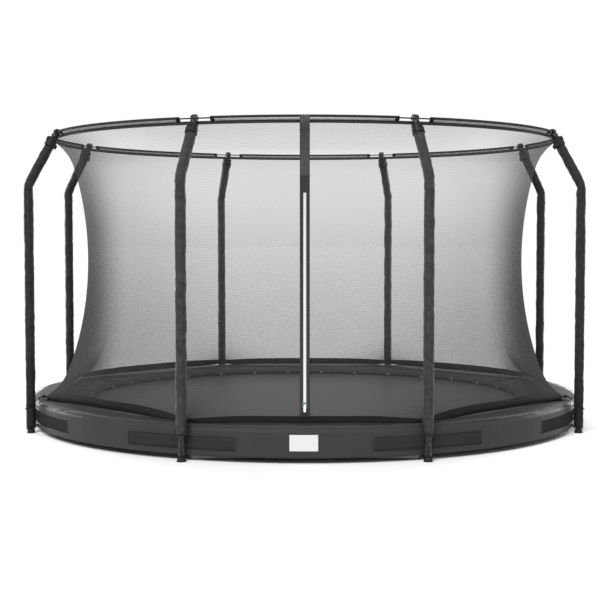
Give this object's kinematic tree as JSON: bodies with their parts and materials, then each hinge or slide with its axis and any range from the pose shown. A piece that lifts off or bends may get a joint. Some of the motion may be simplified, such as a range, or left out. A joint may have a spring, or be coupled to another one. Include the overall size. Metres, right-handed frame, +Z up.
{
  "type": "trampoline",
  "caption": "Round ground-level trampoline with padded rim, skirt with vents, foam-sleeved bent posts and a waisted safety net with a zipped entry.",
  "frame": {"origin": "on the ground at the centre of the ring of posts", "axes": "+Z up; -Y towards the front, where the zipped entry is; +X to the right as seen from the front"},
  "size_m": [3.9798, 3.9811, 2.1039],
  "materials": {
    "galvanised_tube": "satin",
    "black_tube": "satin",
    "foam_sleeve": "matt",
    "black_plastic": "matt",
    "grey_plastic": "satin",
    "zinc_bolt": "satin",
    "dark_rod": "satin",
    "spring_wire": "satin",
    "pad_cover": "satin",
    "white_elastic": "matt",
    "skirt_cloth": "matt",
    "window_mesh": "matt",
    "white_label": "matt",
    "net_mesh": "matt",
    "sheer_cloth": "matt",
    "net_webbing": "matt",
    "black_cord": "matt",
    "white_zip": "satin",
    "zip_metal": "satin",
    "mat_cloth": "matt",
    "mat_band": "matt"
  },
  "bodies": {
    "frame": {"rail_1": "galvanised_tube", "rail_2": "galvanised_tube", "rail_3": "galvanised_tube", "rail_4": "galvanised_tube", "rail_5": "galvanised_tube", "rail_6": "galvanised_tube", "rail_7": "galvanised_tube", "rail_8": "galvanised_tube", "leg_front": "galvanised_tube", "leg_right": "galvanised_tube", "leg_back": "galvanised_tube", "leg_left": "galvanised_tube", "pole_lower_1": "black_tube", "pole_lower_2": "black_tube", "pole_lower_3": "black_tube", "pole_lower_4": "black_tube", "pole_lower_5": "black_tube", "pole_lower_6": "black_tube", "pole_lower_7": "black_tube", "pole_lower_8": "black_tube", "pole_upper_1": "black_tube", "pole_upper_2": "black_tube", "pole_upper_3": "black_tube", "pole_upper_4": "black_tube", "pole_upper_5": "black_tube", "pole_upper_6": "black_tube", "pole_upper_7": "black_tube", "pole_upper_8": "black_tube", "pole_sleeve_1": "foam_sleeve", "pole_sleeve_2": "foam_sleeve", "pole_sleeve_3": "foam_sleeve", "pole_sleeve_4": "foam_sleeve", "pole_sleeve_5": "foam_sleeve", "pole_sleeve_6": "foam_sleeve", "pole_sleeve_7": "foam_sleeve", "pole_sleeve_8": "foam_sleeve", "foot_caps": "black_plastic", "pole_bolts": "zinc_bolt", "pole_collars": "black_plastic", "ring_caps": "grey_plastic", "ring_rods": "dark_rod", "springs": "spring_wire", "pad": "pad_cover", "pad_loops": "white_elastic", "pad_skirt": "skirt_cloth", "vent_windows": "window_mesh", "skirt_label": "white_label", "net": "net_mesh", "net_top_sleeve": "sheer_cloth", "net_top_hem": "net_webbing", "net_bottom_hem": "net_webbing", "net_hooks": "black_plastic", "net_cords": "black_cord", "zip_strip": "net_webbing", "zip_track": "white_zip"},
    "mat": {"mat": "mat_cloth", "mat_webbing": "mat_band", "v_rings": "spring_wire"},
    "slider": {"zip_slider": "zip_metal"},
    "pull": {"zip_pull": "zip_metal"}
  },
  "joints": [
    {"name": "mat_bounce", "type": "slide", "parent": "frame", "child": "mat", "axis": [0, 0, 1], "range_m": [-0.15, 0], "stiffness_N_per_m": 5000, "springref_m": 0.05, "deforming": ["springs"]},
    {"name": "zip_slide", "type": "hinge", "parent": "frame", "child": "slider", "pos_m": [0, -3.77904, 1.199], "axis": [1, 0, 0], "range_deg": [0, 34.3]},
    {"name": "pull_swing", "type": "hinge", "parent": "slider", "child": "pull", "pos_m": [0, -1.79054, 0.32997], "axis": [-1, 0, 0], "range_deg": [0, 170]}
  ]
}
